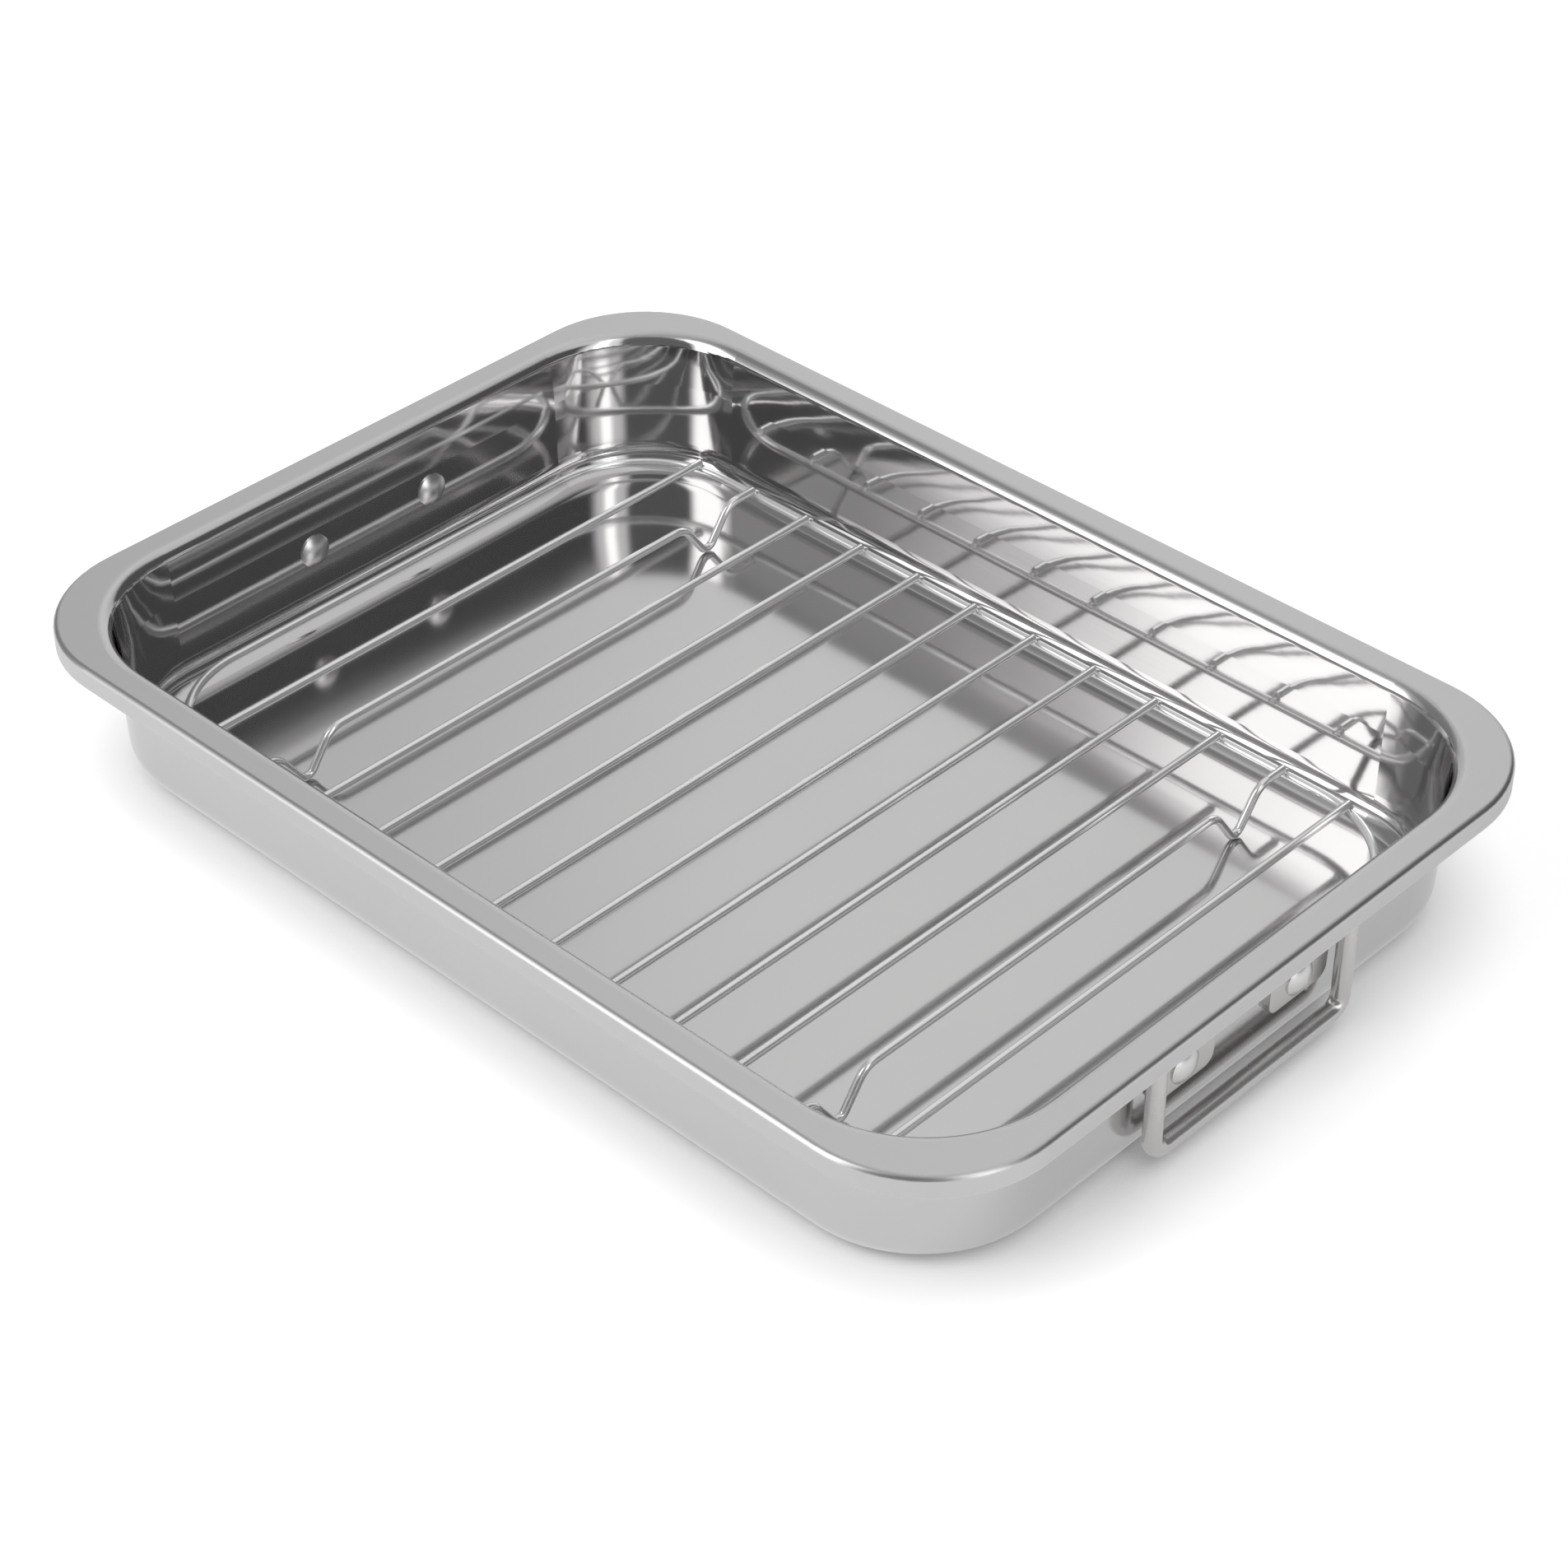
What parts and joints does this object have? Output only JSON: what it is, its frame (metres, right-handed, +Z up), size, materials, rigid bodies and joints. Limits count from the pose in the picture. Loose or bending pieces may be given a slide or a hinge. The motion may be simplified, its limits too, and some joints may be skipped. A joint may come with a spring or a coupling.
{
  "type": "roasting pan with rack",
  "caption": "Shallow rectangular steel roasting pan with a flat rim, drop handles at both short ends and a lift-out wire rack.",
  "frame": {"origin": "under the middle of the pan's base, on the surface it stands on", "axes": "+X along the pan towards the right handle, +Y across it, +Z up"},
  "size_m": [0.4, 0.287, 0.053],
  "materials": {
    "pan_steel": "satin outside, polished walls inside",
    "handle_steel": "polished wire",
    "clip_steel": "satin",
    "rivet_steel": "polished",
    "rack_chrome": "bright plated"
  },
  "bodies": {
    "root": {"pan": "pan_steel", "handle_clip_near_right": "clip_steel", "handle_clip_far_right": "clip_steel", "handle_clip_near_left": "clip_steel", "handle_clip_far_left": "clip_steel", "rivet_near_right": "rivet_steel", "rivet_far_right": "rivet_steel", "rivet_near_left": "rivet_steel", "rivet_far_left": "rivet_steel"},
    "handle_right": {"handle_bail_right": "handle_steel"},
    "handle_left": {"handle_bail_left": "handle_steel"},
    "rack": {"rack_ring": "rack_chrome", "rack_wire_01": "rack_chrome", "rack_foot_wire_02": "rack_chrome", "rack_wire_03": "rack_chrome", "rack_wire_04": "rack_chrome", "rack_wire_05": "rack_chrome", "rack_wire_06": "rack_chrome", "rack_wire_07": "rack_chrome", "rack_wire_08": "rack_chrome", "rack_wire_09": "rack_chrome", "rack_wire_10": "rack_chrome", "rack_foot_wire_11": "rack_chrome", "rack_wire_12": "rack_chrome"}
  },
  "joints": [
    {"name": "handle_right_hinge", "type": "hinge", "parent": "root", "child": "handle_right", "pos_m": [0.19237, 0, 0.04189], "axis": [0, -1, 0], "range_deg": [-4, 90]},
    {"name": "handle_left_hinge", "type": "hinge", "parent": "root", "child": "handle_left", "pos_m": [-0.19237, 0, 0.04189], "axis": [0, 1, 0], "range_deg": [-4, 90]},
    {"name": "rack_lift", "type": "slide", "parent": "root", "child": "rack", "axis": [0, 0, 1], "range_m": [0, 0.06]}
  ]
}
